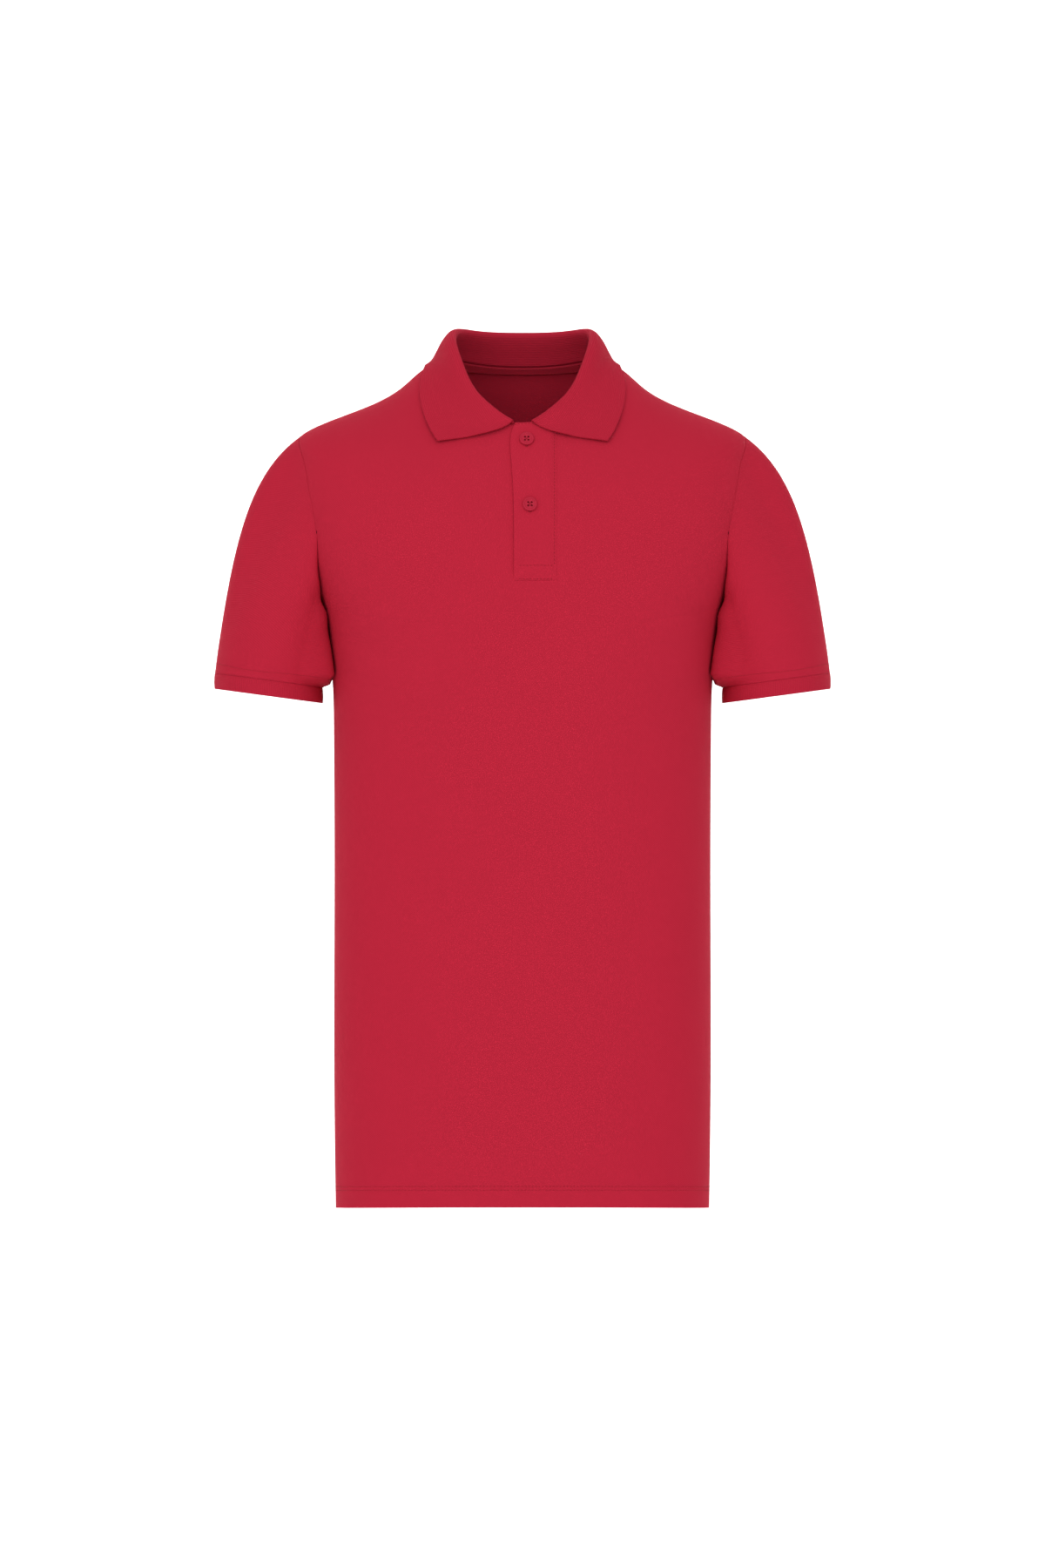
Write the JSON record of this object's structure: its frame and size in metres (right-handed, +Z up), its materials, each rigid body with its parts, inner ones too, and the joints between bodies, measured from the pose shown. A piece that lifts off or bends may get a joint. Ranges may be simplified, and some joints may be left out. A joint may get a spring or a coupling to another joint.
{
  "type": "polo shirt",
  "caption": "Short-sleeved polo shirt in plain red cotton pique with a rib collar and cuffs and a buttoned placket, filled out as if worn.",
  "frame": {"origin": "middle of the neck opening at its base, level with the points where the shoulders meet the neck; a wearer or a stand holds the shirt there", "axes": "+Z up along the wearer's spine, -Y out of the front, +X towards the viewer's right when the front is seen"},
  "size_m": [0.5304, 0.2353, 0.7571],
  "materials": {
    "pique": "matte",
    "rib": "matte",
    "tape": "matte",
    "button": "satin"
  },
  "bodies": {
    "root": {"front_panel": "pique", "back_panel": "pique", "sleeve_left": "pique", "sleeve_right": "pique", "cuff_left": "rib", "cuff_right": "rib", "collar": "rib", "placket_top": "pique", "placket_under": "pique", "neck_tape": "tape", "button_1": "button", "button_2": "button"}
  },
  "joints": []
}
